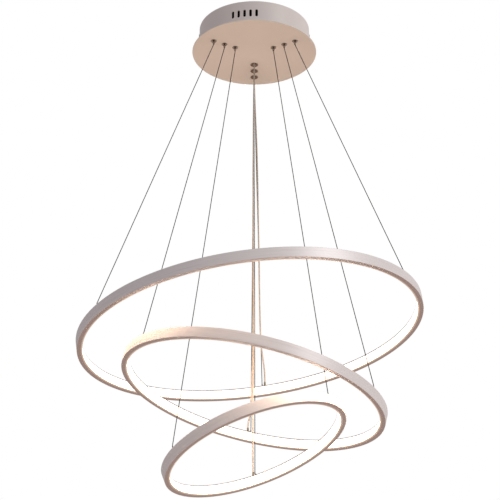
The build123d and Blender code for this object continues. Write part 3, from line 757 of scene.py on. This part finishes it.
LAMP_MIDDLE = (0, 0, -0.6)   # the square lights face it
KEY_COLOUR = (1.0, 0.97, 0.95)
BOUNCE_COLOUR = (1.0, 0.85, 0.76)
STRIP_COLOUR = (1.0, 0.64, 0.40)
STRIP_RADIANCE = 29.0
STRIP_PIECES = 8             # straight lights around each ring
STRIP_HEIGHT = 0.018
STRIP_INSET = 0.014          # in from the ring's outer face


def make_floor():
    """A plain pale floor, far below."""
    half = FLOOR_SIZE / 2
    corners = (-half, -half), (half, -half), (half, half), (-half, half)
    mesh = bpy.data.meshes.new("floor")
    mesh.from_pydata([(x, y, -FLOOR_DROP) for x, y in corners], [], [(0, 1, 2, 3)])
    floor = new_piece("floor", mesh)
    finish = Finish("floor", base_color=opaque(FLOOR_TONE), roughness=0.9,
                    emission_color=opaque(WHITE), emission_strength=FLOOR_GLOW)
    floor.data.materials.append(finish.material)
    for ray in ("diffuse", "glossy", "transmission"):
        setattr(floor, f"visible_{ray}", False)


def make_shade_card():
    """A dark card under the ceiling: painted shade for the canopy's dim inside behind the vent
    slots. It shows only from below.
    """
    mesh = bpy.data.meshes.new("ceiling_card")
    angles = [tau * step / CARD_SIDES for step in range(CARD_SIDES)]
    rim = [(CARD_RADIUS * cos(angle), -CARD_RADIUS * sin(angle), -CARD_DROP) for angle in angles]
    mesh.from_pydata(rim, [], [tuple(range(CARD_SIDES))])
    card = new_piece("ceiling_card", mesh)
    material = bpy.data.materials.new("ceiling_card")
    material.use_nodes = True
    graph = Graph(material.node_tree)
    graph.tree.nodes.remove(graph.tree.nodes["Principled BSDF"])
    # painted shade, seen by the camera from below only
    dark = graph.node("ShaderNodeBsdfDiffuse", inputs={"Color": opaque(SHADE_CARD_TONE)})
    clear = graph.node("ShaderNodeBsdfTransparent")
    behind = graph.node("ShaderNodeNewGeometry", output=6)
    shown = graph.node("ShaderNodeMixShader", inputs={0: behind, 1: dark, 2: clear})
    graph.tree.links.new(shown.socket, graph.tree.nodes["Material Output"].inputs["Surface"])
    card.data.materials.append(material)
    for ray in ("diffuse", "glossy", "transmission", "shadow", "volume_scatter"):
        setattr(card, f"visible_{ray}", False)


def make_world():
    """White to look at. Its light is pale on the right, dimmer on the left and brown below.

    The ranges are parts of the light's direction, which has a length of one.
    """
    world = bpy.data.worlds.new("studio")
    world.use_nodes = True
    world.cycles.sampling_method = "NONE"
    bpy.context.scene.world = world
    graph = Graph(world.node_tree)
    x, y, z = graph.split(graph.node("ShaderNodeTexCoord", output=0))
    right = graph.range(x - 0.25 * y, -0.9, 0.9)
    low = graph.range(z, 0.05, -0.35)
    front = graph.range(y, -0.10, -0.40)
    side = graph.range(x.math("ABSOLUTE", x), 0.45, 0.80)
    below = graph.mix(side, graph.mix(front, BELOW_BACK, BELOW_FRONT), BELOW_SIDES)
    light = graph.mix(low, graph.mix(right, SKY_LEFT, SKY_RIGHT), below)
    lamp = graph.node("ShaderNodeBackground", inputs={"Color": light, "Strength": 1.0})
    backdrop = graph.node("ShaderNodeBackground",
                          inputs={"Color": opaque(WHITE), "Strength": 1.0})
    seen = graph.node("ShaderNodeLightPath", output=0)
    shown = graph.node("ShaderNodeMixShader", inputs={0: seen, 1: lamp, 2: backdrop})
    graph.tree.links.new(shown.socket, graph.tree.nodes["World Output"].inputs["Surface"])


def make_light(name, place, size, power, colour, glossy=True):
    """A soft square light that faces the lamp's middle."""
    data = bpy.data.lights.new(name, "AREA")
    data.shape = "SQUARE"
    data.size = size
    data.energy = power
    data.color = colour
    light = bpy.data.objects.new(name, data)
    light.location = place
    aim = Vector(LAMP_MIDDLE) - Vector(place)
    light.rotation_euler = aim.to_track_quat("-Z", "Y").to_euler()
    light.visible_camera = False
    light.visible_glossy = glossy
    bpy.context.collection.objects.link(light)


def make_strip_light(ring):
    """The warm light that a ring's diffuser throws inwards, in straight pieces."""
    reach = ring.radius - STRIP_INSET
    middle = reach * cos(pi / STRIP_PIECES)
    width = 2 * reach * sin(pi / STRIP_PIECES)
    for step in range(STRIP_PIECES):
        data = bpy.data.lights.new(f"{ring.name}_strip_{step}", "AREA")
        data.shape = "RECTANGLE"
        data.size = width
        data.size_y = STRIP_HEIGHT
        data.energy = STRIP_RADIANCE * pi * width * STRIP_HEIGHT
        data.color = STRIP_COLOUR
        light = bpy.data.objects.new(data.name, data)
        turn = Matrix.Rotation(tau * (step + 0.5) / STRIP_PIECES, 4, "Z")
        inward = Matrix(((0, 0, 1, middle), (1, 0, 0, 0), (0, 1, 0, 0), (0, 0, 0, 1)))
        light.matrix_world = ring.place @ turn @ inward
        light.visible_camera = False
        light.visible_glossy = False
        light.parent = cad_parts[f"{ring.name}_ring_diffuser"]
        bpy.context.collection.objects.link(light)


make_floor()
make_shade_card()
make_world()
for hung_ring in RINGS:
    make_strip_light(hung_ring)
make_light("key", (3.6, -3.0, 1.2), size=2.2, power=60.0, colour=KEY_COLOUR)
make_light("bounce", (0.2, -0.9, -3.3), size=2.6, power=15.5, colour=BOUNCE_COLOUR, glossy=False)
bpy.context.scene.view_settings.view_transform = "Standard"
